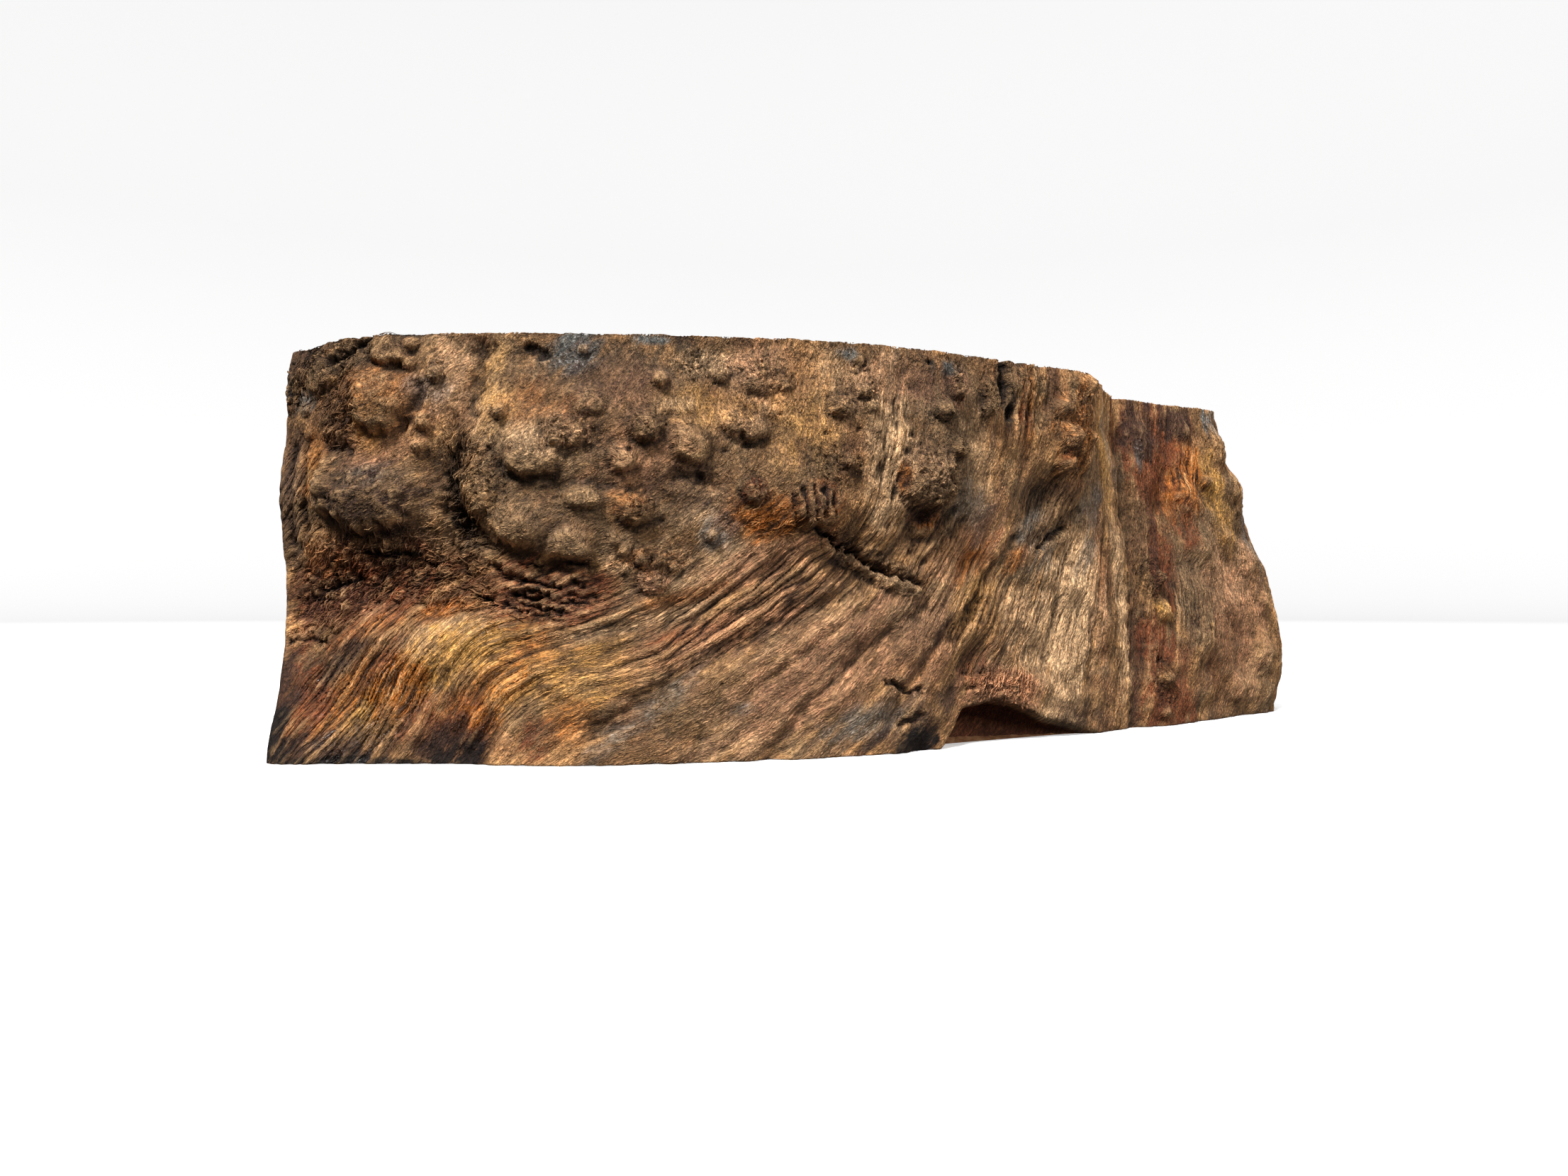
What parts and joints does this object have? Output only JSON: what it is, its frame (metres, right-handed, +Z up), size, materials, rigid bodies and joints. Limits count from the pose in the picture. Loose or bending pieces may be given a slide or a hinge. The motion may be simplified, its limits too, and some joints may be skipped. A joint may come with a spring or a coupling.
{
  "type": "briar block",
  "caption": "Plateau block of briar burl wood: a knotty natural outer face with lumps, furrows and a split, flaring round one end, and flat sawn top, base, back and other end.",
  "frame": {"origin": "centre of the block's bounding box in plan, on the plane of the sawn underside that it rests on", "axes": "+Z up from the sawn underside to the sawn top, through the block's thickness; +X along the block's longest side, from the sawn left end to the flared natural right end; -Y is the way the natural burl face looks, and +Y the way the sawn back looks"},
  "size_m": [0.1788, 0.098, 0.06],
  "materials": {
    "briar_wood": "weathered natural burl, matt and fibrous, with sawn faces"
  },
  "bodies": {
    "root": {"briar_block": "briar_wood"}
  },
  "joints": []
}
